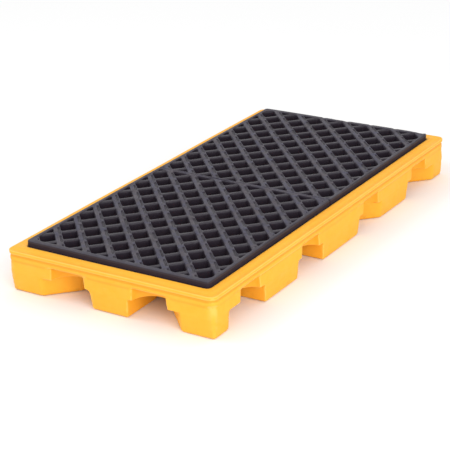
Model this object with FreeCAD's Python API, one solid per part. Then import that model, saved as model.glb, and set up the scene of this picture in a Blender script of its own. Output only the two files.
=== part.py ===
"""Low spill containment pallet: a moulded tray on fifteen hollow feet, two lift-out gratings,
loose posts that carry them, and a drain plug. Millimetres, +Z up, the long side along X, the
origin on the ground under the middle."""

import FreeCAD, Part
import math
import os

V = FreeCAD.Vector

# ---- driving dimensions ----
LENGTH = 1300.0
WIDTH = 660.0
RIM_TOP = 121.0           # inner, highest line of the rim
RIM_EDGE = 118.0          # top of the rim's outer bead
BEAD_BOTTOM = 108.5
BAND_TOP = 102.5
BAND_BOTTOM = 90.0        # lower edge of the rim band, over the fork pockets
STEP = 54.0               # underside of the tray, where the feet begin
WALL = 6.0
RIM_RADIUS = 22.0
BAND_INSET = 2.5
GROOVE_INSET = 4.0
WALL_INSET = 3.0
RIM_WIDTH = 38.0
EDGE_BEVEL = 3.0          # on the bead's upper edge
RIM_LIP = 4.0             # level strip beside the gratings' recess

DECK_TOP = 137.0
GRATE_DEPTH = 38.0
GRATE_LENGTH = 1220.0     # both gratings together
GRATE_WIDTH = 580.0
GRATE_GAP = 1.5           # between the two gratings
GRATE_CORNER = 9.0
GRATE_BORDER = 16.0
LATTICE_CORNER = 28.0     # the lattice field's outer corners
SEAM_CORNER = 1.5
SEAM_BORDER = 6.0         # thinner border where the gratings meet
PITCH_COUNT_X = 14        # diamonds along both gratings, point to point
PITCH_COUNT_Y = 6.88
BAR = 19.0                # width of a lattice bar
CROSS_BAR_DROP = 2.5      # the bars along one diagonal lie this much lower
SMALLEST_OPENING = 60.0   # square millimetres; smaller corners of a clipped diamond are filled
LEDGE_WIDTH = 17.0
RECESS_CLEARANCE = 2.0

FOOT_DRAFT = 5.0          # taper of each foot's side, from the step to the ground
FOOT_RADIUS = 9.0
CORNER_RADIUS = 12.0

# plan lines of the feet at the step, measured from the middle of the pallet
OUTER_X = LENGTH / 2 - WALL_INSET
OUTER_Y = WIDTH / 2 - WALL_INSET
INNER_Y = 137.0           # inner end of the outer rows
MIDDLE_Y = 62.0           # half width of the middle row
END_INNER_X = 503.0
CORNER_FRONT_X = 576.0
CORNER_SIDE_Y = 221.0
QUARTER_X = (171.0, 407.0)
QUARTER_FRONT_X = 236.0
CENTRE_X = 105.0

# scalloped recesses in the tray's wall, over the fork pockets
END_SCOOP_Y = 130.5
END_SCOOP_RADII = (54.5, 51.0)     # at the step, at the band
SIDE_SCOOP_X = (476.5, 172.0)
SIDE_SCOOP_RADII = (47.0, 44.0)

POST_RADIUS = 45.0
POST_WALL = 7.0
POST_CAP_RADIUS = 54.0
POST_CAP = 8.0
POST_BASE = 96.0          # side of the square base plate
POST_BASE_DEPTH = 7.0
POST_BASE_RADIUS = 12.0
POST_PLACES = {"left": (-290.0, 0.0), "right": (290.0, 0.0), "centre_front": (0.0, -214.0),
               "centre": (0.0, 0.0), "centre_back": (0.0, 214.0)}

DRAIN_Z = 31.0
DRAIN_SEAT_X = 630.0
DRAIN_RECESS_RADIUS = 26.0
DRAIN_BOSS_RADIUS = 30.0
DRAIN_BOSS_INNER_X = 612.0
DRAIN_BORE_RADIUS = 13.25
PLUG_CLEARANCE = 0.05
PLUG_HEAD_RADIUS = 19.0
PLUG_HEAD = 9.5
PLUG_RING = 2.5           # raised ring round the head's face
PLUG_RING_HEIGHT = 2.0
PLUG_SHANK_END = 2.0      # the shank stops this short of the boss's inner face
SOCKET_FLOOR = 1.5
GASKET = 2.5
GASKET_RADIUS = 18.0
GASKET_CLEARANCE = 0.15
SQUARE_DRIVE = 12.7
OVERCUT = 1.0             # cutting tools run on this far past a face


def rounded_wire(points, radius, z):
    """Closed wire through convex corner points, each rounded by its radius."""
    radii = radius if isinstance(radius, (list, tuple)) else [radius] * len(points)
    ends = []
    for i, (x, y) in enumerate(points):
        corner = V(x, y, z)
        before = V(*points[i - 1], z) - corner
        after = V(*points[(i + 1) % len(points)], z) - corner
        before.normalize()
        after.normalize()
        half = before.getAngle(after) / 2
        cut = radii[i] / math.tan(half)
        bisector = before + after
        bisector.normalize()
        middle = corner + bisector * (radii[i] / math.sin(half) - radii[i])
        ends.append((corner + before * cut, middle, corner + after * cut))
    edges = []
    for i, (start, middle, stop) in enumerate(ends):
        edges.append(Part.Arc(start, middle, stop).toShape())
        edges.append(Part.LineSegment(stop, ends[(i + 1) % len(ends)][0]).toShape())
    return Part.Wire(edges)


def rectangle(length, width):
    x, y = length / 2, width / 2
    return [(-x, -y), (x, -y), (x, y), (-x, y)]


def inset(points, distance):
    """Anticlockwise convex polygon moved inwards by a distance."""
    moved = []
    for i, (x, y) in enumerate(points):
        corner = V(x, y, 0)
        before = corner - V(*points[i - 1], 0)
        after = V(*points[(i + 1) % len(points)], 0) - corner
        normal_a = V(-before.y, before.x, 0).normalize()
        normal_b = V(-after.y, after.x, 0).normalize()
        spread = 1 + normal_a.dot(normal_b)
        shift = (normal_a + normal_b) * (distance / spread)
        moved.append((x + shift.x, y + shift.y))
    return moved


def slab(length, width, radius, low, high):
    face = Part.Face(rounded_wire(rectangle(length, width), radius, low))
    return face.extrude(V(0, 0, high - low))


def frustum(points_low, radius_low, low, points_high, radius_high, high):
    wires = [rounded_wire(points_low, radius_low, low), rounded_wire(points_high, radius_high, high)]
    return Part.makeLoft(wires, True, True)


def rim_layer(inset_low, low, inset_high, high):
    """One storey of the rim, from one inset of the outline to another."""
    def outline(distance):
        return rectangle(LENGTH - 2 * distance, WIDTH - 2 * distance)
    return frustum(outline(inset_low), RIM_RADIUS - inset_low / 2, low,
                   outline(inset_high), RIM_RADIUS - inset_high / 2, high)


def mirrored(points, flip_x, flip_y):
    """The polygon reflected about the middle planes, still anticlockwise."""
    turned = [(-x if flip_x else x, -y if flip_y else y) for x, y in points]
    return turned[::-1] if flip_x != flip_y else turned


def foot_outlines():
    """Plan outline of every foot at the step, each with the corners that lie on a pallet corner."""
    corner = [(-OUTER_X, -OUTER_Y), (-CORNER_FRONT_X, -OUTER_Y),
              (-END_INNER_X, -OUTER_Y + CORNER_FRONT_X - END_INNER_X), (-END_INNER_X, -INNER_Y),
              (-OUTER_X + CORNER_SIDE_Y - INNER_Y, -INNER_Y), (-OUTER_X, -CORNER_SIDE_Y)]
    near, far = QUARTER_X
    quarter = [(-far, -OUTER_Y), (-QUARTER_FRONT_X, -OUTER_Y),
               (-near, -OUTER_Y + QUARTER_FRONT_X - near), (-near, -INNER_Y), (-far, -INNER_Y)]
    centre = [(-CENTRE_X, -OUTER_Y), (CENTRE_X, -OUTER_Y), (CENTRE_X, -INNER_Y), (-CENTRE_X, -INNER_Y)]
    end_middle = [(-OUTER_X, -MIDDLE_Y), (-END_INNER_X, -MIDDLE_Y),
                  (-END_INNER_X, MIDDLE_Y), (-OUTER_X, MIDDLE_Y)]
    quarter_middle = [(-far, -MIDDLE_Y), (-near, -MIDDLE_Y), (-near, MIDDLE_Y), (-far, MIDDLE_Y)]
    outlines = []
    for flip_x in (False, True):
        for flip_y in (False, True):
            outlines += [mirrored(corner, flip_x, flip_y), mirrored(quarter, flip_x, flip_y)]
        outlines += [mirrored(end_middle, flip_x, False), mirrored(quarter_middle, flip_x, False)]
    outlines += [mirrored(centre, False, flip_y) for flip_y in (False, True)]
    outlines.append(rectangle(2 * CENTRE_X, 2 * MIDDLE_Y))
    return outlines


def corner_radii(points, reduction=0.0):
    """Large radius where a foot has the pallet's own corner, small elsewhere."""
    radii = []
    for x, y in points:
        at_corner = abs(x) > OUTER_X - 1 and abs(y) > OUTER_Y - 1
        radii.append((CORNER_RADIUS if at_corner else FOOT_RADIUS) - reduction)
    return radii


def tapered_foot(outline, wall, low, high):
    """Foot or its hollow: wall is taken off all round; the sides taper towards the ground."""
    def section(z):
        return inset(outline, wall + FOOT_DRAFT * (STEP - z) / STEP)
    radii = corner_radii(outline, wall / 2)
    return frustum(section(low), radii, low, section(high), radii, high)


def scoops(growth, low, high):
    """Upright cones on the tray's wall; growth adds to the radius."""
    cones = []
    places = [((sx * OUTER_X, sy * END_SCOOP_Y), END_SCOOP_RADII) for sx in (-1, 1) for sy in (-1, 1)]
    places += [((sx * x, sy * OUTER_Y), SIDE_SCOOP_RADII)
               for x in SIDE_SCOOP_X for sx in (-1, 1) for sy in (-1, 1)]
    for (x, y), (radius_low, radius_high) in places:
        slope = (radius_high - radius_low) / (BAND_BOTTOM - STEP)
        at = [radius_low + slope * (z - STEP) + growth for z in (low, high)]
        cones.append(Part.makeCone(at[0], at[1], high - low, V(x, y, low)))
    return cones


def rim():
    bevel_foot = RIM_EDGE - EDGE_BEVEL
    top = [rim_layer(0, BEAD_BOTTOM, 0, bevel_foot), rim_layer(0, bevel_foot, EDGE_BEVEL, RIM_EDGE),
           rim_layer(EDGE_BEVEL, RIM_EDGE, RIM_WIDTH - RIM_LIP, RIM_TOP)]
    band = slab(LENGTH - 2 * BAND_INSET, WIDTH - 2 * BAND_INSET, RIM_RADIUS - BAND_INSET,
                BAND_BOTTOM, BAND_TOP)
    groove = slab(LENGTH - 2 * GROOVE_INSET, WIDTH - 2 * GROOVE_INSET, RIM_RADIUS - GROOVE_INSET,
                  BAND_TOP, BEAD_BOTTOM)
    return band.multiFuse([groove] + top)


def sump_base():
    wall = slab(2 * OUTER_X, 2 * OUTER_Y, CORNER_RADIUS, STEP, BAND_BOTTOM)
    wall = wall.cut(Part.makeCompound(scoops(0, STEP, BAND_BOTTOM)))
    outlines = foot_outlines()
    body = wall.multiFuse([rim()] + [tapered_foot(p, 0, 0, STEP) for p in outlines])

    floor = STEP + WALL
    cavity = slab(2 * (OUTER_X - WALL), 2 * (OUTER_Y - WALL), CORNER_RADIUS - WALL, floor, BAND_BOTTOM)
    cavity = cavity.cut(Part.makeCompound(scoops(WALL, floor - OVERCUT, BAND_BOTTOM + OVERCUT)))
    ledge_top = DECK_TOP - GRATE_DEPTH
    recess_length = GRATE_LENGTH + 2 * RECESS_CLEARANCE
    recess_width = GRATE_WIDTH + 2 * RECESS_CLEARANCE
    recess = slab(recess_length, recess_width, GRATE_CORNER + RECESS_CLEARANCE,
                  ledge_top, RIM_TOP + OVERCUT)
    mouth = slab(recess_length - 2 * LEDGE_WIDTH, recess_width - 2 * LEDGE_WIDTH, GRATE_CORNER,
                 BAND_BOTTOM - OVERCUT, ledge_top + OVERCUT)
    wells = [tapered_foot(p, WALL, WALL, floor + OVERCUT) for p in outlines]
    body = body.cut(cavity.multiFuse([recess, mouth] + wells))

    body = body.fuse(along_x(DRAIN_BOSS_RADIUS, DRAIN_BOSS_INNER_X, OUTER_X - OVERCUT))
    body = body.cut(along_x(DRAIN_RECESS_RADIUS, DRAIN_SEAT_X, LENGTH))
    body = body.cut(along_x(DRAIN_BORE_RADIUS, DRAIN_BOSS_INNER_X - OVERCUT, DRAIN_SEAT_X + OVERCUT))
    return body.removeSplitter()


def along_x(radius, start, stop):
    """Cylinder on the drain's axis."""
    return Part.makeCylinder(radius, stop - start, V(start, 0, DRAIN_Z), V(1, 0, 0))


def lattice_openings(inner, crossing_spans_only):
    """Faces of the gaps in one grating, clipped to the inner rectangle.

    With crossing_spans_only the gap runs on over the lower bars, as one long slot per lane."""
    pitch_x = GRATE_LENGTH / PITCH_COUNT_X
    pitch_y = GRATE_WIDTH / PITCH_COUNT_Y
    run = math.hypot(pitch_x, pitch_y)
    thickness_x = BAR * run / pitch_y / 2      # half a bar's width, measured along X
    half_x = pitch_x / 2 - thickness_x
    half_y = half_x * pitch_y / pitch_x
    faces = []
    if crossing_spans_only:
        reach = GRATE_WIDTH / pitch_y * pitch_x
        lanes = int((GRATE_LENGTH + reach) / pitch_x) + 2
        for lane in range(-lanes, lanes + 1):
            x = (lane + 0.5) * pitch_x
            rise = GRATE_WIDTH
            lean = rise * pitch_x / pitch_y
            faces.append(polygon_face([(x - half_x - lean, -rise), (x + half_x - lean, -rise),
                                       (x + half_x + lean, rise), (x - half_x + lean, rise)]))
    else:
        columns, rows = PITCH_COUNT_X + 2, int(PITCH_COUNT_Y) + 2
        for i in range(-columns, columns + 1):
            for j in range(-rows, rows + 1):
                if (i + j) % 2 == 1:
                    x, y = i * pitch_x / 2, j * pitch_y / 2
                    faces.append(polygon_face([(x - half_x, y), (x, y - half_y),
                                               (x + half_x, y), (x, y + half_y)]))
    bounds = inner.BoundBox
    kept = []
    for face in faces:
        if not face.BoundBox.intersect(bounds):
            continue
        clipped = face.common(inner)
        kept += [part for part in clipped.Faces if part.Area > SMALLEST_OPENING]
    return kept


def polygon_face(points):
    corners = [V(x, y, 0) for x, y in points]
    return Part.Face(Part.makePolygon(corners + corners[:1]))


def grate(side):
    """One grating; side is -1 or 1. Made flat at z = 0, then lifted to the deck."""
    seam = side * GRATE_GAP / 2
    far = side * GRATE_LENGTH / 2
    low_x, high_x = sorted((seam, far))
    half = GRATE_WIDTH / 2
    outline = [(low_x, -half), (high_x, -half), (high_x, half), (low_x, half)]
    radii = [GRATE_CORNER if abs(x) > GRATE_LENGTH / 4 else SEAM_CORNER for x, _ in outline]
    plate = Part.Face(rounded_wire(outline, radii, 0))
    inside = []
    for x, y in outline:
        border = GRATE_BORDER if abs(x) > GRATE_LENGTH / 4 else SEAM_BORDER
        inside.append((x - math.copysign(border, x - (low_x + high_x) / 2),
                       y - math.copysign(GRATE_BORDER, y)))
    inner_radii = [LATTICE_CORNER if abs(x) > GRATE_LENGTH / 4 else SEAM_CORNER for x, _ in inside]
    inner = Part.Face(rounded_wire(inside, inner_radii, 0))

    lower = plate.cut(Part.makeCompound(lattice_openings(inner, False)))
    upper = plate.cut(Part.makeCompound(lattice_openings(inner, True)))
    bottom = DECK_TOP - GRATE_DEPTH
    depth = GRATE_DEPTH - CROSS_BAR_DROP
    solid = lower.extrude(V(0, 0, depth))
    ribs = upper.extrude(V(0, 0, CROSS_BAR_DROP))
    ribs.translate(V(0, 0, depth))
    whole = solid.fuse(ribs).removeSplitter()
    whole.translate(V(0, 0, bottom))
    return whole


def post(x, y):
    """Loose pedestal that stands in a foot's hollow and carries the gratings."""
    top = DECK_TOP - GRATE_DEPTH
    base = slab(POST_BASE, POST_BASE, POST_BASE_RADIUS, WALL, WALL + POST_BASE_DEPTH)
    column = Part.makeCylinder(POST_RADIUS, top - WALL, V(0, 0, WALL))
    cap = Part.makeCylinder(POST_CAP_RADIUS, POST_CAP, V(0, 0, top - POST_CAP))
    body = base.multiFuse([column, cap])
    body = body.cut(Part.makeCylinder(POST_RADIUS - POST_WALL, top, V(0, 0, WALL - OVERCUT)))
    body.translate(V(x, y, 0))
    return body.removeSplitter()


def drain_plug():
    """Plug with a round head and a square socket for its key."""
    back_x = DRAIN_SEAT_X + GASKET
    front_x = back_x + PLUG_HEAD
    shank = along_x(DRAIN_BORE_RADIUS - PLUG_CLEARANCE, DRAIN_BOSS_INNER_X + PLUG_SHANK_END, back_x)
    head = along_x(PLUG_HEAD_RADIUS, back_x, front_x)
    dish = along_x(PLUG_HEAD_RADIUS - PLUG_RING, front_x - PLUG_RING_HEIGHT, front_x + OVERCUT)
    half = SQUARE_DRIVE / 2
    socket = Part.makeBox(PLUG_HEAD, SQUARE_DRIVE, SQUARE_DRIVE,
                          V(back_x + SOCKET_FLOOR, -half, DRAIN_Z - half))
    return shank.fuse(head).cut(dish.fuse(socket)).removeSplitter()


def drain_gasket():
    front_x = DRAIN_SEAT_X + GASKET
    ring = along_x(GASKET_RADIUS, DRAIN_SEAT_X, front_x)
    return ring.cut(along_x(DRAIN_BORE_RADIUS + GASKET_CLEARANCE, DRAIN_SEAT_X - OVERCUT, front_x + OVERCUT))


def save(name, shape):
    shape.exportStep("parts/" + name + ".step")
    print(name, "valid", shape.isValid(), "solids", len(shape.Solids),
          "litres", round(shape.Volume / 1e6, 3))


os.makedirs("parts", exist_ok=True)
save("sump_base", sump_base())
save("grate_left", grate(-1))
save("grate_right", grate(1))
for place, (post_x, post_y) in POST_PLACES.items():
    save("grate_post_" + place, post(post_x, post_y))
save("drain_plug", drain_plug())
save("drain_gasket", drain_gasket())
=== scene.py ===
"""Spill containment pallet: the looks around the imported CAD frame.

Each moulded piece is a signed distance field on a fine lattice, so that its edges and roots are
rounded as a mould makes them, and then a mesh. Fields are in millimetres, meshes in metres."""

import math

import bpy
import numpy as np
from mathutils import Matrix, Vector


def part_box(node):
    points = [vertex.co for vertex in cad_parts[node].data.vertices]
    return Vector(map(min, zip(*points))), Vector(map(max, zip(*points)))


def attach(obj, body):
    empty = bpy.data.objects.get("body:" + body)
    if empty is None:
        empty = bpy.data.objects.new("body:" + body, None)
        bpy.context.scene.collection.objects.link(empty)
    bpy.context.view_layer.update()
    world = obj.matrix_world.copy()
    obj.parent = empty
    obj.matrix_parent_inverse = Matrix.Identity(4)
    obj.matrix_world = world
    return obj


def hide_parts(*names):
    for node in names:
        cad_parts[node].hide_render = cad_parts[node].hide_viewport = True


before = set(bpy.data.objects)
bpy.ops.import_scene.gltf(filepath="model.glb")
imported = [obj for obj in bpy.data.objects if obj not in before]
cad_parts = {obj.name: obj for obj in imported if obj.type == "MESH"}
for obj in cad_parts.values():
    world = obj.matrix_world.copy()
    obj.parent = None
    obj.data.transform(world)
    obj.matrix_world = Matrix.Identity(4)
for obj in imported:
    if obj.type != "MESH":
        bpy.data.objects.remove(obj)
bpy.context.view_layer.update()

import openvdb
from mathutils import Matrix, Vector

MM = 0.001
SHARP_RADIUS = 3.0        # an edge this round or sharper gets the full painted highlight, a root the full painted shade


def span(node):
    """Lowest and highest corner of a CAD node, in millimetres."""
    low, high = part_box(node)
    return np.array(low) / MM, np.array(high) / MM


# ---- sizes that the frame gives ----
TRAY_LOW, TRAY_HIGH = span("sump_base")
HALF_LENGTH, HALF_WIDTH, RIM_TOP = TRAY_HIGH
LEFT_LOW, LEFT_HIGH = span("grate_left")
DECK_BOTTOM, DECK_TOP = LEFT_LOW[2], LEFT_HIGH[2]
DECK_HALF_LENGTH, DECK_HALF_WIDTH = -LEFT_LOW[0], LEFT_HIGH[1]
HALF_GAP = -LEFT_HIGH[0]
POSTS = ("left", "right", "centre_front", "centre", "centre_back")
PLUG_LOW, PLUG_HIGH = span("drain_plug")
GASKET_LOW, GASKET_HIGH = span("drain_gasket")
DRAIN_Y = (PLUG_LOW[1] + PLUG_HIGH[1]) / 2
DRAIN_Z = (PLUG_LOW[2] + PLUG_HIGH[2]) / 2

# ---- the tray ----
STEP = 54.0               # underside of the tray, where the feet begin
BAND_BOTTOM = 90.0        # underside of the rim, over the pockets
RIM_EDGE = 118.0          # top of the rim's outer bead
WALL = 6.0
RIM_RADIUS = 22.0
RECESS_CLEARANCE = 2.0
GRATE_RADIUS = 9.0
LEDGE_WIDTH = 17.0
MOUTH_OVERLAP = 2.0       # the opening inside the ledge starts this far under the band's bottom
WALL_INSET = 3.0          # the wall under the rim lies this far inside the outline
FOOT_DRAFT = 5.0
FOOT_RADIUS = 9.0
CORNER_RADIUS = 12.0
INNER_Y = 137.0
MIDDLE_Y = 62.0
END_INNER_X = 503.0
CORNER_FRONT_X = 576.0
CORNER_SIDE_Y = 221.0
QUARTER_NEAR_X, QUARTER_FAR_X = 171.0, 407.0
QUARTER_FRONT_X = 236.0
CENTRE_X = 105.0
SCOOP_LEAN = 3.3          # a scoop is this much narrower at the rim than at the step
# Scoops, recesses in the wall over the pockets: x, y and radius at the step.
END_SCOOP = (HALF_LENGTH - WALL_INSET, 130.5, 54.5)
SIDE_SCOOPS = ((476.5, HALF_WIDTH - WALL_INSET, 47.0), (172.0, HALF_WIDTH - WALL_INSET, 45.0))

# ---- the gratings ----
RIB = 20.5                # width of the high bars, from (-X, -Y) to (+X, +Y)
TIE = 14.5                # width of the lower bars that cross them
TIE_DROP = 2.6
GROOVE = 5.2              # width of the slit in each rib between two ties
GROOVE_OFFSET = 4.8       # off the rib's middle line
GROOVE_DEPTH = 3.2
GROOVE_LENGTH = 46.0
GROOVE_SHIFT = 8.0        # off the middle between the ties
BORDER_X = 15.0           # the deck's solid border at the ends
BORDER_Y = 11.0           # and along the sides
SEAM_BORDER = 6.0
LATTICE_CORNER = 28.0
DIAMONDS_ALONG, DIAMONDS_ACROSS = 14, 6.88
PITCH_X = 2 * DECK_HALF_LENGTH / DIAMONDS_ALONG
PITCH_Y = 2 * DECK_HALF_WIDTH / DIAMONDS_ACROSS

# ---- the drain and the posts ----
DRAIN_SEAT_X = GASKET_LOW[0]
DRAIN_BOSS_INNER_X = PLUG_LOW[0] - 2
DRAIN_BOSS_OUTER_X = HALF_LENGTH - 8
DRAIN_BOSS_RADIUS = 30.0
DRAIN_RECESS_RADIUS = 26.0
DRAIN_BORE_RADIUS = 13.6
GASKET_RADIUS = 18.0
GASKET_HOLE_RADIUS = 13.4
PLUG_HEAD_RADIUS = 19.0
PLUG_FLUTES = 14
PLUG_FLUTE_DEPTH = 0.7
PLUG_DISH_RADIUS = 15.2
PLUG_DISH_DEPTH = 1.8
SQUARE_DRIVE = 12.7
SOCKET_FLOOR = 1.5
THREAD_PITCH = 3.6
THREAD_ROOT_RADIUS = 12.1
POST_BASE = 96.0          # side of the square foot plate
POST_BASE_DEPTH = 7.0
POST_BASE_CORNER = 12.0
POST_RADIUS = 45.0
POST_TAPER = 2.0
POST_BORE_RADIUS = 38.0
POST_RIB_REACH = 50.0
POST_RIB = 4.4            # thickness of each of the eight ribs
POST_CAP_RADIUS = 54.0
POST_CAP_DEPTH = 8.0
POST_NOTCH = 12.0         # width and height of the drain notches in the foot plate

# ---- blends: smooth_max's radius, a little more than the fillet it makes ----
FOOT_ROOT = 7.0           # from a foot to the tray's underside
SOLE_EDGE = 6.0
WALL_EDGE = 3.5           # from the outer wall to what lies under it
BAND_ROOT = 3.0
BEAD_EDGE = 2.2
POCKET_EDGE = 2.5
WELL_MOUTH = 10.0         # from the tray's floor down into a foot
WELL_ROOT = 8.0
BAR_ROOT = 6.5            # in the corners of the lattice's openings
BAR_EDGE = 2.4
TIE_EDGE = 2.6

# ---- lattices: the space between their points ----
TRAY_STEP = np.array((1.8, 1.8, 1.2))
GRATING_STEP = POST_STEP = (1.5, 1.5, 1.5)
PLUG_STEP = (0.4, 0.4, 0.4)
GASKET_STEP = (0.3, 0.4, 0.4)
MARGIN = 3                # lattice cells round the box

# The rim's outer side: how far it lies inside the outline at each height.
SIDE_HEIGHTS = (0, STEP, 88.5, 90.5, 101.0, 103.0, 106.0, 108.5, RIM_TOP)
SIDE_INSETS = (WALL_INSET + FOOT_DRAFT, WALL_INSET, WALL_INSET, 1.4, 1.4, 3.8, 3.8, 0, 0)

# The rim's upper side: its height at each distance from the outline, a bead at both edges.
TOP_PLACES = (0, 4.5, 8.0, 27.0, 30.5, 60.0)
TOP_HEIGHTS = (RIM_EDGE, RIM_EDGE, RIM_EDGE - 1.0, RIM_TOP - 2.2, RIM_TOP, RIM_TOP)


# ---- fields ----
class Lattice:
    """Points of a box, as x, y and z arrays that broadcast against each other."""

    def __init__(self, low, high, step):
        self.step = np.array(step, float)
        margin = MARGIN * self.step
        self.low = np.array(low, float) - margin
        counts = np.ceil((np.array(high) + margin - self.low) / self.step).astype(int) + 1
        axes = [(self.low[i] + self.step[i] * np.arange(counts[i])).astype(np.float32)
                for i in range(3)]
        self.x, self.y, self.z = np.meshgrid(*axes, indexing="ij", sparse=True)


def smooth_max(a, b, radius):
    """The larger of two fields, with the edge between them rounded."""
    overlap = np.maximum(radius - np.abs(a - b), 0)
    return np.maximum(a, b) + overlap * overlap / (4 * radius)


def smooth_min(a, b, radius):
    """The smaller of two fields, with the root between them rounded."""
    return -smooth_max(-a, -b, radius)


def rectangle(x, y, half_x, half_y, radius):
    """Distance in plan from a rectangle with rounded corners, negative inside."""
    over_x = np.abs(x) - half_x + radius
    over_y = np.abs(y) - half_y + radius
    outside = np.hypot(np.maximum(over_x, 0), np.maximum(over_y, 0))
    return outside + np.minimum(np.maximum(over_x, over_y), 0) - radius


def convex(x, y, sides, radius):
    """Field in plan of a convex outline. Each side is (a, b, c): a x + b y < c inside."""
    field = None
    for a, b, c in sides:
        length = math.hypot(a, b)
        plane = (a * x + b * y - c) / length
        field = plane if field is None else smooth_max(field, plane, radius)
    return field


def wobble(x, y, size, wave):
    """Gentle unevenness of a large moulding, between 0 and size."""
    waves = np.sin(x / wave + 1.3 * np.sin(y / (1.7 * wave))) + np.sin(y / (0.8 * wave) + 0.7)
    return size * (0.5 + waves / 4)      # the two sines add up to between -2 and 2


# ---- from a field to a mesh ----
def sample(field, places):
    """Values of a field between its lattice points."""
    limit = np.array(field.shape) - 2
    cell = np.clip(np.floor(places).astype(int), 0, limit)
    part = places - cell
    total = np.zeros(len(places))
    for corner in np.ndindex(2, 2, 2):
        weight = np.prod(np.where(corner, part, 1 - part), axis=1)
        at = cell + corner
        total += weight * field[at[:, 0], at[:, 1], at[:, 2]]
    return total


def skin(name, field, lattice, adaptivity, box):
    """Mesh object of the surface where the field is zero, kept inside the box, with the field's
    own normals. Its attribute "edge" is 1 on a sharp edge, -1 in a sharp root and 0 on a flat."""
    reach = 3 * lattice.step.max()
    volume = openvdb.FloatGrid(reach)
    volume.copyFromArray(np.clip(field, -reach, reach).astype(np.float32))
    points, triangles, quads = volume.convertToPolygons(0.0, adaptivity)

    middle = sample(field, points)
    slopes, bend = [], 0.0
    for axis in range(3):
        offset = np.zeros(3)
        offset[axis] = 1.0
        ahead, behind = sample(field, points + offset), sample(field, points - offset)
        slopes.append((ahead - behind) / lattice.step[axis])
        bend = bend + (ahead + behind - 2 * middle) / lattice.step[axis] ** 2
    normals = np.stack(slopes, axis=1)
    normals /= np.maximum(np.linalg.norm(normals, axis=1, keepdims=True), 1e-9)

    faces = [tuple(face) for face in quads.tolist()] + [tuple(face) for face in triangles.tolist()]
    places = np.clip(lattice.low + points * lattice.step, *box) * MM
    mesh = bpy.data.meshes.new(name)
    mesh.from_pydata(places.tolist(), [], faces)
    edge = mesh.attributes.new("edge", "FLOAT", "POINT")
    edge.data.foreach_set("value", np.clip(bend * SHARP_RADIUS, -1, 1).astype(np.float32))
    mesh.update()
    mesh.validate()
    first = mesh.polygons[0]
    if Vector(first.normal).dot(Vector(normals[first.vertices[0]])) < 0:
        mesh.flip_normals()
    mesh.shade_smooth()
    mesh.normals_split_custom_set_from_vertices(normals.tolist())
    piece = bpy.data.objects.new(name, mesh)
    bpy.context.scene.collection.objects.link(piece)
    return piece


# ---- the tray's field ----
def feet_plan(x, y, radius):
    """Field in plan of the feet of one quarter, where x and y are measured from the middle.
    The feet of the outer rows run on past the tray's outline, which trims them."""
    far = 2 * HALF_LENGTH
    slant = CORNER_FRONT_X - HALF_WIDTH + WALL_INSET
    back = CORNER_SIDE_Y - HALF_LENGTH + WALL_INSET
    flare = QUARTER_FRONT_X - HALF_WIDTH + WALL_INSET
    corner = convex(x, y, [(-1, 0, -END_INNER_X), (0, -1, -INNER_Y),
                           (-1, 1, -slant), (1, -1, -back)], radius)
    quarter = convex(x, y, [(1, 0, QUARTER_FAR_X), (-1, 0, -QUARTER_NEAR_X), (0, -1, -INNER_Y),
                            (-1, 1, -flare)], radius)
    centre = convex(x, y, [(1, 0, CENTRE_X), (0, -1, -INNER_Y)], radius)
    end_middle = convex(x, y, [(-1, 0, -END_INNER_X), (0, 1, MIDDLE_Y), (1, 0, far)], radius)
    quarter_middle = convex(x, y, [(1, 0, QUARTER_FAR_X), (-1, 0, -QUARTER_NEAR_X),
                                   (0, 1, MIDDLE_Y)], radius)
    middle = convex(x, y, [(1, 0, CENTRE_X), (0, 1, MIDDLE_Y)], radius)
    return np.minimum.reduce([corner, quarter, centre, end_middle, quarter_middle, middle])


def scoop_plan(x, y):
    """Distance in plan to the nearest scoop's edge at the step, negative inside the scoop."""
    return np.minimum.reduce([np.hypot(x - cx, y - cy) - radius
                              for cx, cy, radius in (END_SCOOP, *SIDE_SCOOPS)])


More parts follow.
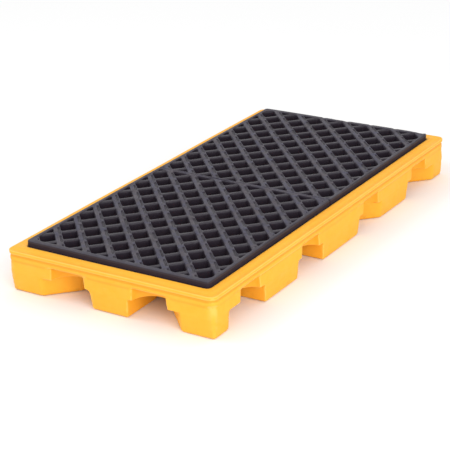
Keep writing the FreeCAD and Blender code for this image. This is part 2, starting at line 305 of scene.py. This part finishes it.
def tray_field(lattice):
    """Field of one quarter of the tray, without its drain."""
    x, y, z = lattice.x, lattice.y, lattice.z
    draft = FOOT_DRAFT * np.maximum(STEP - z, 0) / STEP
    feet = feet_plan(x, y, FOOT_RADIUS)
    scoop = scoop_plan(x, y) + SCOOP_LEAN * (z - STEP) / (BAND_BOTTOM - STEP)
    outline = rectangle(x, y, HALF_LENGTH, HALF_WIDTH, RIM_RADIUS)
    foot_outline = rectangle(x, y, HALF_LENGTH, HALF_WIDTH, CORNER_RADIUS + WALL_INSET)
    inset = np.interp(z, SIDE_HEIGHTS, SIDE_INSETS).astype(np.float32)
    above_step = smooth_min(STEP - z, feet + draft, FOOT_ROOT)
    pocket = np.maximum(scoop, STEP - z)
    under_rim = smooth_max(above_step, -pocket, POCKET_EDGE)
    core = smooth_min(under_rim, BAND_BOTTOM - z, BAND_ROOT)
    blend = np.clip((z - STEP) / (BAND_BOTTOM - STEP), 0, 1)
    side = outline * blend + foot_outline * (1 - blend) + inset
    body = smooth_max(side, core, WALL_EDGE)
    top = z - np.interp(-outline, TOP_PLACES, TOP_HEIGHTS).astype(np.float32)
    body = smooth_max(body, top, BEAD_EDGE)
    body = smooth_max(body, -z, SOLE_EDGE)

    floor = STEP + WALL
    hollow_side = foot_outline + WALL_INSET + WALL + draft
    hollow = smooth_min(floor - z, feet + WALL + draft, WELL_MOUTH)
    hollow = smooth_max(hollow_side, hollow, 6.0)
    hollow = smooth_max(hollow, -(scoop - WALL), WELL_ROOT)
    hollow = smooth_max(hollow, WALL - z, WELL_ROOT)
    hollow = smooth_max(hollow, z - BAND_BOTTOM, 4.0)
    recess_x = DECK_HALF_LENGTH + RECESS_CLEARANCE
    recess_y = DECK_HALF_WIDTH + RECESS_CLEARANCE
    recess = rectangle(x, y, recess_x, recess_y, GRATE_RADIUS + RECESS_CLEARANCE)
    over_pocket = np.maximum(scoop - WALL, z - BAND_BOTTOM - WALL)
    mouth = np.maximum(recess + LEDGE_WIDTH, BAND_BOTTOM - MOUTH_OVERLAP - z)
    mouth = smooth_max(mouth, -over_pocket, 4.0)
    hollow = smooth_min(hollow, mouth, 3.0)
    hollow = np.minimum(hollow, smooth_max(recess, DECK_BOTTOM - z, 2.0))
    return smooth_max(body, -hollow, POCKET_EDGE)


def add_drain(field, lattice):
    """Boss, recess and bore for the plug, in the middle of the +X end."""
    near = lattice.x[:, 0, 0] > DRAIN_BOSS_INNER_X - 10
    x, y, z = lattice.x[near], lattice.y, lattice.z
    radius = np.hypot(y - DRAIN_Y, z - DRAIN_Z)
    local = field[near]
    ends = np.maximum(DRAIN_BOSS_INNER_X - x, x - DRAIN_BOSS_OUTER_X)
    boss = smooth_max(radius - DRAIN_BOSS_RADIUS, ends, 3.0)
    local = smooth_min(local, boss, 6.0)
    local = smooth_max(local, -np.maximum(radius - DRAIN_RECESS_RADIUS, DRAIN_SEAT_X - x), 3.0)
    local = smooth_max(local, -(radius - DRAIN_BORE_RADIUS), 1.5)
    field[near] = local


def tray():
    """The tray: one quarter's field, mirrored about both middle planes, and then its drain.
    The quarter starts half a step off those planes, so that the whole is evenly spaced."""
    step = TRAY_STEP
    quarter = Lattice((*(step[:2] * (MARGIN + 0.5)), TRAY_LOW[2]), TRAY_HIGH, step)
    field = tray_field(quarter)
    field = np.concatenate([field[::-1], field], axis=0)
    field = np.concatenate([field[:, ::-1], field], axis=1)
    whole = Lattice(TRAY_LOW, TRAY_HIGH, step)
    whole.low[:2] = -(np.array(field.shape[:2]) - 1) * step[:2] / 2
    whole.x = (whole.low[0] + step[0] * np.arange(field.shape[0])).astype(np.float32)[:, None, None]
    whole.y = (whole.low[1] + step[1] * np.arange(field.shape[1])).astype(np.float32)[None, :, None]
    whole.z = quarter.z
    field += wobble(whole.x, whole.y, 0.7, 95.0)
    add_drain(field, whole)
    return skin("tray_moulding", field, whole, 0.30, (TRAY_LOW, TRAY_HIGH))


# ---- the gratings' field ----
def bar_field(across, spacing, width, offset=0.0):
    """Field of parallel bars with the given spacing, by the distance across them."""
    return np.abs((across - offset + spacing / 2) % spacing - spacing / 2) - width / 2


def grating_field(lattice, side):
    """Field of one grating; side is -1 or 1. The border is as high as the ribs."""
    x, y, z = lattice.x, lattice.y, lattice.z
    run = math.hypot(PITCH_X, PITCH_Y)
    spacing = PITCH_X * PITCH_Y / run
    across_ribs = (PITCH_Y * x - PITCH_X * y) / run
    across_ties = (PITCH_Y * x + PITCH_X * y) / run
    ribs = bar_field(across_ribs, spacing, RIB)
    ties = bar_field(across_ties, spacing, TIE)
    outline = rectangle(x, y, DECK_HALF_LENGTH, DECK_HALF_WIDTH, GRATE_RADIUS)
    seam = HALF_GAP - side * x
    inside = rectangle(x, y, DECK_HALF_LENGTH - BORDER_X, DECK_HALF_WIDTH - BORDER_Y, LATTICE_CORNER)
    border = -smooth_max(inside, seam + SEAM_BORDER, 4.0)
    net = smooth_min(smooth_min(ribs, ties, BAR_ROOT), border, 5.0)
    low = smooth_max(net, z - DECK_TOP + TIE_DROP, TIE_EDGE)
    high = smooth_max(smooth_min(ribs, border, 5.0), z - DECK_TOP, BAR_EDGE)
    field = smooth_min(low, high, 1.0)
    groove = smooth_max(bar_field(across_ribs, spacing, GROOVE, GROOVE_OFFSET),
                        bar_field(across_ties, spacing, GROOVE_LENGTH, GROOVE_SHIFT), 3.0)
    groove = np.maximum(groove, 1.0 - border)
    field = smooth_max(field, -smooth_max(groove, DECK_TOP - GROOVE_DEPTH - z, 1.5), 1.8)
    field = smooth_max(field, outline, 3.0)
    field = smooth_max(field, seam, 1.4)
    return smooth_max(field, DECK_BOTTOM - z, 2.0)


def grating(side):
    """One grating; side is -1 or 1."""
    name = "left" if side < 0 else "right"
    low, high = span("grate_" + name)
    lattice = Lattice(low, high, GRATING_STEP)
    field = grating_field(lattice, side) + wobble(lattice.x, lattice.y, 0.6, 70.0)
    return skin("grating_" + name, field, lattice, 0.45, (low, high))


# ---- small pieces ----
def post(place):
    """Loose pedestal: a foot plate, a ribbed tube and a flanged top."""
    low, high = span("grate_post_" + place)
    lattice = Lattice(low, high, POST_STEP)
    centre = (low + high) / 2
    x, y, z = lattice.x - centre[0], lattice.y - centre[1], lattice.z
    radius = np.hypot(x, y)
    plan = rectangle(x, y, POST_BASE / 2, POST_BASE / 2, POST_BASE_CORNER)
    plate = smooth_max(plan, z - low[2] - POST_BASE_DEPTH, 2.5)
    column = radius - POST_RADIUS + POST_TAPER * (z - low[2]) / (high[2] - low[2])
    turn = np.arctan2(y, x)
    ribs = np.maximum(np.abs(np.sin(4 * turn)) * radius / 4 - POST_RIB / 2, radius - POST_RIB_REACH)
    cap_sides = np.maximum(high[2] - POST_CAP_DEPTH - z, z - high[2])
    cap = smooth_max(radius - POST_CAP_RADIUS, cap_sides, 2.5)
    field = smooth_min(smooth_min(column, ribs, 4.0), plate, 6.0)
    field = smooth_min(field, cap, 5.0)
    field = smooth_max(field, z - high[2], 2.5)
    field = smooth_max(field, low[2] - z, 1.5)
    field = smooth_max(field, -(radius - POST_BORE_RADIUS), 2.5)
    notch = np.maximum(np.minimum(np.abs(x), np.abs(y)) - POST_NOTCH / 2, z - low[2] - POST_NOTCH)
    return skin("post_" + place, smooth_max(field, -notch, 2.0), lattice, 0.3, (low, high))


def plug():
    """Threaded plug with a fluted head and a square socket."""
    lattice = Lattice(PLUG_LOW, PLUG_HIGH, PLUG_STEP)
    x, y, z = lattice.x, lattice.y - DRAIN_Y, lattice.z - DRAIN_Z
    radius = np.hypot(y, z)
    turn = np.arctan2(z, y)
    head_back, head_front = GASKET_HIGH[0], PLUG_HIGH[0]
    flutes = PLUG_FLUTE_DEPTH * np.maximum(np.cos(PLUG_FLUTES * turn), 0)
    faces = np.maximum(head_back - x, x - head_front)
    head = smooth_max(radius - PLUG_HEAD_RADIUS + flutes, faces, 1.6)
    dish = np.maximum(radius - PLUG_DISH_RADIUS, head_front - PLUG_DISH_DEPTH - x)
    square = np.maximum(np.abs(y), np.abs(z)) - SQUARE_DRIVE / 2
    socket = np.maximum(square, head_back + SOCKET_FLOOR - x)
    head = smooth_max(smooth_max(head, -dish, 1.0), -socket, 0.8)
    phase = (x / THREAD_PITCH + turn / (2 * math.pi)) % 1.0
    thread = radius - THREAD_ROOT_RADIUS - np.clip(2.2 - 4.4 * np.abs(phase - 0.5), 0, 1)
    shank = smooth_max(thread, np.maximum(PLUG_LOW[0] - x, x - head_back - 1), 1.2)
    return skin("drain_plug_fluted", np.minimum(head, shank), lattice, 0.2, (PLUG_LOW, PLUG_HIGH))


def gasket():
    """Rubber ring, its edges rounded."""
    lattice = Lattice(GASKET_LOW, GASKET_HIGH, GASKET_STEP)
    x, y, z = lattice.x, lattice.y - DRAIN_Y, lattice.z - DRAIN_Z
    radius = np.hypot(y, z)
    faces = np.maximum(GASKET_LOW[0] - x, x - GASKET_HIGH[0])
    ring = smooth_max(radius - GASKET_RADIUS, GASKET_HOLE_RADIUS - radius, 1.0)
    field = smooth_max(ring, faces, 1.2)
    return skin("drain_gasket_ring", field, lattice, 0.2, (GASKET_LOW, GASKET_HIGH))


# ---- materials: colours are linear, and a pair is the two ends of a slow variation ----
YELLOW = (0.95, 0.420, 0.014), (0.96, 0.445, 0.019)
YELLOW_MOTTLE = (0.98, 0.475, 0.030)
# painted shade: the deeper orange laid into roots and creases
YELLOW_ROOT_SHADE = (0.88, 0.290, 0.005)
# painted highlight: the paler yellow laid along sharp edges
YELLOW_EDGE_HIGHLIGHT = (1.0, 0.60, 0.15)
YELLOW_SCUFF = (1.0, 0.60, 0.16)
GRIME = (0.36, 0.18, 0.04)
CHARCOAL = (0.026, 0.021, 0.031), (0.037, 0.030, 0.042)
# painted shade: darker charcoal down in the openings
CHARCOAL_DEPTH_SHADE = (0.020, 0.0135, 0.023)
# painted shade: the lower ties a darker charcoal than the ribs
CHARCOAL_TIE_SHADE = (0.024, 0.0190, 0.0275)
# painted sheen: the lighter, mottled grey on the ribs' tops
CHARCOAL_SHEEN = (0.045, 0.043, 0.076), (0.064, 0.052, 0.064)
# painted highlight along the ribs' top edges
CHARCOAL_EDGE_HIGHLIGHT = (0.092, 0.084, 0.104)
DUST = (0.13, 0.122, 0.14)
NYLON = (0.020, 0.020, 0.022), (0.045, 0.044, 0.047)
RUBBER = (0.012, 0.012, 0.013), (0.030, 0.029, 0.028)
FLOOR = (0.93, 0.93, 0.93)


class Nodes:
    """Short names for making a material's nodes."""

    def __init__(self, name):
        self.material = bpy.data.materials.new(name)
        self.material.use_nodes = True
        self.tree = self.material.node_tree
        self.shader = self.tree.nodes["Principled BSDF"]
        self.places = self.add("ShaderNodeTexCoord").outputs["Object"]

    def add(self, kind, **settings):
        node = self.tree.nodes.new(kind)
        for key, value in settings.items():
            setattr(node, key, value)
        return node

    def link(self, source, target):
        self.tree.links.new(source, target)

    def noise(self, scale, detail=3.0, roughness=0.55, stretch=None):
        node = self.add("ShaderNodeTexNoise")
        node.inputs["Scale"].default_value = scale
        node.inputs["Detail"].default_value = detail
        node.inputs["Roughness"].default_value = roughness
        places = self.places
        if stretch:
            mapping = self.add("ShaderNodeMapping")
            mapping.inputs["Scale"].default_value = stretch
            self.link(places, mapping.inputs["Vector"])
            places = mapping.outputs["Vector"]
        self.link(places, node.inputs["Vector"])
        return node.outputs["Fac"]

    def ramp(self, source, low, high, bottom=0.0, top=1.0):
        node = self.add("ShaderNodeMapRange", interpolation_type="SMOOTHSTEP")
        for socket, value in zip(("From Min", "From Max", "To Min", "To Max"), (low, high, bottom, top)):
            node.inputs[socket].default_value = value
        self.link(source, node.inputs["Value"])
        return node.outputs["Result"]

    def mix(self, factor, first, second):
        node = self.add("ShaderNodeMix", data_type="RGBA")
        self.link(factor, node.inputs["Factor"])
        for socket, value in ((node.inputs[6], first), (node.inputs[7], second)):
            if isinstance(value, tuple):
                socket.default_value = (*value, 1.0)
            else:
                self.link(value, socket)
        return node.outputs[2]

    def math(self, operation, first, second):
        node = self.add("ShaderNodeMath", operation=operation)
        for socket, value in zip(node.inputs, (first, second)):
            if isinstance(value, float):
                socket.default_value = value
            else:
                self.link(value, socket)
        return node.outputs[0]

    def edge(self):
        """The mesh's own measure of edges and roots, from skin."""
        return self.add("ShaderNodeAttribute", attribute_name="edge").outputs["Fac"]

    def bump(self, heights):
        """heights: (source, distance in metres, strength), laid one over another."""
        normal = None
        for source, distance, strength in heights:
            node = self.add("ShaderNodeBump")
            node.inputs["Distance"].default_value = distance
            node.inputs["Strength"].default_value = strength
            self.link(source, node.inputs["Height"])
            if normal:
                self.link(normal, node.inputs["Normal"])
            normal = node.outputs["Normal"]
        self.link(normal, self.shader.inputs["Normal"])


def height_of(nodes):
    """Height of a point over the ground, in metres."""
    parts = nodes.add("ShaderNodeSeparateXYZ")
    nodes.link(nodes.places, parts.inputs[0])
    return parts.outputs["Z"]


def yellow_plastic():
    """Waxy moulded polyethylene: painted highlights on its edges, painted shade in its roots, with faint
    flow marks, scuffs, and grime at the feet."""
    n = Nodes("yellow_polyethylene")
    cloud = n.ramp(n.noise(5.0, 4.0), 0.3, 0.7)
    mottle = n.ramp(n.noise(55.0, 3.0), 0.35, 0.65)
    colour = n.mix(cloud, *YELLOW)
    colour = n.mix(n.math("MULTIPLY", mottle, 0.35), colour, YELLOW_MOTTLE)
    edge = n.edge()
    # painted shade in the roots, where the edge attribute is below zero
    colour = n.mix(n.ramp(edge, -0.15, -0.8, 0.0, 0.60), colour, YELLOW_ROOT_SHADE)
    # painted highlight along the sharp edges
    colour = n.mix(n.ramp(edge, 0.30, 0.95, 0.0, 0.42), colour, YELLOW_EDGE_HIGHLIGHT)
    scuff = n.ramp(n.noise(16.0, 5.0, 0.7, (1.0, 1.0, 9.0)), 0.60, 0.72)
    colour = n.mix(n.math("MULTIPLY", scuff, 0.18), colour, YELLOW_SCUFF)
    near_ground = n.ramp(height_of(n), 0.030, 0.0)
    grime = n.math("MULTIPLY", near_ground, n.ramp(n.noise(38.0, 5.0, 0.65), 0.50, 0.68))
    colour = n.mix(n.math("MULTIPLY", grime, 0.35), colour, GRIME)
    n.link(colour, n.shader.inputs["Base Color"])
    rough = n.ramp(n.noise(24.0, 4.0), 0.3, 0.7, 0.54, 0.68)
    n.link(n.math("ADD", rough, n.math("MULTIPLY", scuff, 0.12)), n.shader.inputs["Roughness"])
    n.shader.inputs["IOR"].default_value = 1.5
    n.bump([(n.noise(42.0, 2.0), 0.0012, 0.20), (n.noise(620.0, 2.0), 0.00025, 0.30)])
    return n.material


def at_depth(nodes, start, end):
    """0 at the start depth under the deck's top and 1 at the end depth, both in millimetres."""
    return nodes.ramp(height_of(nodes), (DECK_TOP - start) * MM, (DECK_TOP - end) * MM)


def near_outline(nodes):
    """1 on the outer border of the deck and 0 inside it."""
    parts = nodes.add("ShaderNodeSeparateXYZ")
    nodes.link(nodes.places, parts.inputs[0])
    masks = []
    for axis, inner in (("X", DECK_HALF_LENGTH - BORDER_X), ("Y", DECK_HALF_WIDTH - BORDER_Y)):
        far = nodes.math("ABSOLUTE", parts.outputs[axis], 0.0)
        masks.append(nodes.ramp(far, (inner - 3) * MM, (inner + 3) * MM))
    return nodes.math("MAXIMUM", *masks)


def black_plastic():
    """Satin charcoal moulding, grained and dusty, with painted shade down in the openings and on the
    lower ties, and a mottled painted sheen and painted edge highlights on the ribs' tops.
    """
    n = Nodes("charcoal_polyethylene")
    cloud = n.ramp(n.noise(7.0, 4.0), 0.3, 0.7)
    colour = n.mix(cloud, *CHARCOAL)
    # painted shade: darker from 4.2 mm to 8 mm under the deck's top
    deep_shade = at_depth(n, 4.2, 8.0)
    colour = n.mix(deep_shade, colour, CHARCOAL_DEPTH_SHADE)
    # painted shade: the top layer, where the lower ties show, a darker charcoal
    tie_shade = at_depth(n, 5.0, 3.5)
    colour = n.mix(n.math("MULTIPLY", tie_shade, 0.75), colour, CHARCOAL_TIE_SHADE)
    # painted sheen on the ribs' tops, mottled, and weaker on the outer border
    rib_top = at_depth(n, 2.4, 0.6)
    top_sheen = n.math("MULTIPLY", rib_top, n.ramp(n.noise(75.0, 5.0, 0.75), 0.30, 0.58))
    kept = n.math("SUBTRACT", 1.0, n.math("MULTIPLY", near_outline(n), 0.55))
    top_sheen = n.math("MULTIPLY", top_sheen, kept)
    tint = n.mix(n.ramp(n.noise(28.0, 3.0), 0.35, 0.65), *CHARCOAL_SHEEN)
    colour = n.mix(top_sheen, colour, tint)
    # painted highlight on the sharp edges of the ribs' tops
    edge = n.math("MULTIPLY", rib_top, n.ramp(n.edge(), 0.10, 0.8, 0.0, 0.30))
    colour = n.mix(edge, colour, CHARCOAL_EDGE_HIGHLIGHT)
    dust = n.ramp(n.noise(230.0, 4.0, 0.7), 0.58, 0.75)
    colour = n.mix(n.math("MULTIPLY", dust, 0.25), colour, DUST)
    n.link(colour, n.shader.inputs["Base Color"])
    rough = n.ramp(n.noise(30.0, 4.0), 0.3, 0.7, 0.34, 0.50)
    rough = n.math("ADD", rough, n.math("MULTIPLY", deep_shade, 0.25))
    n.link(n.math("ADD", rough, n.math("MULTIPLY", top_sheen, 0.10)), n.shader.inputs["Roughness"])
    n.shader.inputs["Specular IOR Level"].default_value = 0.25
    n.bump([(n.noise(70.0, 2.0), 0.0008, 0.25), (n.noise(260.0, 3.0), 0.0004, 0.35),
            (n.noise(700.0, 3.0), 0.0003, 0.45)])
    return n.material


def plug_plastic():
    """Black nylon, a little glossier than the gratings."""
    n = Nodes("plug_nylon")
    cloud = n.ramp(n.noise(90.0, 4.0), 0.3, 0.7)
    n.link(n.mix(cloud, *NYLON), n.shader.inputs["Base Color"])
    n.link(n.ramp(n.noise(160.0, 3.0), 0.3, 0.7, 0.30, 0.46), n.shader.inputs["Roughness"])
    n.bump([(n.noise(900.0, 3.0), 0.0002, 0.35)])
    return n.material


def rubber():
    """Dull black rubber."""
    n = Nodes("gasket_rubber")
    cloud = n.ramp(n.noise(120.0, 4.0), 0.3, 0.7)
    n.link(n.mix(cloud, *RUBBER), n.shader.inputs["Base Color"])
    n.link(n.ramp(n.noise(200.0, 3.0), 0.3, 0.7, 0.66, 0.82), n.shader.inputs["Roughness"])
    n.bump([(n.noise(1200.0, 3.0), 0.0001, 0.4)])
    return n.material


def floor_material():
    n = Nodes("pale_floor")
    n.shader.inputs["Base Color"].default_value = (*FLOOR, 1.0)
    n.shader.inputs["Roughness"].default_value = 0.9
    n.shader.inputs["Specular IOR Level"].default_value = 0.0
    return n.material


# ---- the stage ----
def floor():
    """Flat sheet just under the ground plane, so that it doesn't cut the feet's soles."""
    mesh = bpy.data.meshes.new("floor")
    size, height = 12.0, -0.0005
    corners = [(-size, -size, height), (size, -size, height), (size, size, height), (-size, size, height)]
    mesh.from_pydata(corners, [], [(0, 1, 2, 3)])
    mesh.materials.append(floor_material())
    sheet = bpy.data.objects.new("floor", mesh)
    bpy.context.scene.collection.objects.link(sheet)


def lamp(name, place, target, width, power):
    light = bpy.data.lights.new(name, "AREA")
    light.shape = "DISK"
    light.size = width
    light.energy = power
    holder = bpy.data.objects.new(name, light)
    holder.location = place
    holder.rotation_euler = (Vector(target) - Vector(place)).to_track_quat("-Z", "Y").to_euler()
    bpy.context.scene.collection.objects.link(holder)


def lighting():
    scene = bpy.context.scene
    scene.world = bpy.data.worlds.new("studio")
    scene.world.use_nodes = True
    background = scene.world.node_tree.nodes["Background"]
    background.inputs["Color"].default_value = (1.0, 1.0, 1.0, 1.0)
    background.inputs["Strength"].default_value = 1.0
    lamp("key", (-2.3, -2.6, 1.5), (0, 0, 0.1), 2.0, 48)
    lamp("rim_light", (-1.2, 1.9, 2.8), (0, 0, 0.1), 1.0, 12)
    scene.view_settings.view_transform = "Standard"


def camera():
    """Long lens from in front of the -X end, a little above, with the photographer's slight tilt."""
    azimuth, elevation, roll = math.radians(-56.0), math.radians(22.64), math.radians(-2.84)
    back = Vector((math.sin(azimuth) * math.cos(elevation),
                   -math.cos(azimuth) * math.cos(elevation), math.sin(elevation)))
    right = (-back).cross(Vector((0, 0, 1))).normalized()
    up = right.cross(-back)
    tilted_right = right * math.cos(roll) + up * math.sin(roll)
    tilted_up = up * math.cos(roll) - right * math.sin(roll)
    data = bpy.data.cameras.new("camera")
    data.sensor_width = 36.0
    data.lens = 121.6
    data.clip_end = 60.0
    holder = bpy.data.objects.new("camera", data)
    target, distance = Vector((-0.0113, 0.0560, 0.0)), 4.419
    turned = Matrix((tilted_right, tilted_up, back)).transposed().to_4x4()
    holder.matrix_world = Matrix.Translation(target + back * distance) @ turned
    bpy.context.scene.collection.objects.link(holder)
    bpy.context.scene.camera = holder


def place_piece(piece, body, node, material):
    piece.data.materials.append(material)
    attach(piece, body)
    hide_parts(node)


yellow, black = yellow_plastic(), black_plastic()
place_piece(tray(), "tray", "sump_base", yellow)
place_piece(grating(-1), "left_grating", "grate_left", black)
place_piece(grating(1), "right_grating", "grate_right", black)
for name in POSTS:
    place_piece(post(name), "tray", "grate_post_" + name, yellow)
place_piece(plug(), "plug", "drain_plug", plug_plastic())
place_piece(gasket(), "plug", "drain_gasket", rubber())

floor()
lighting()
camera()
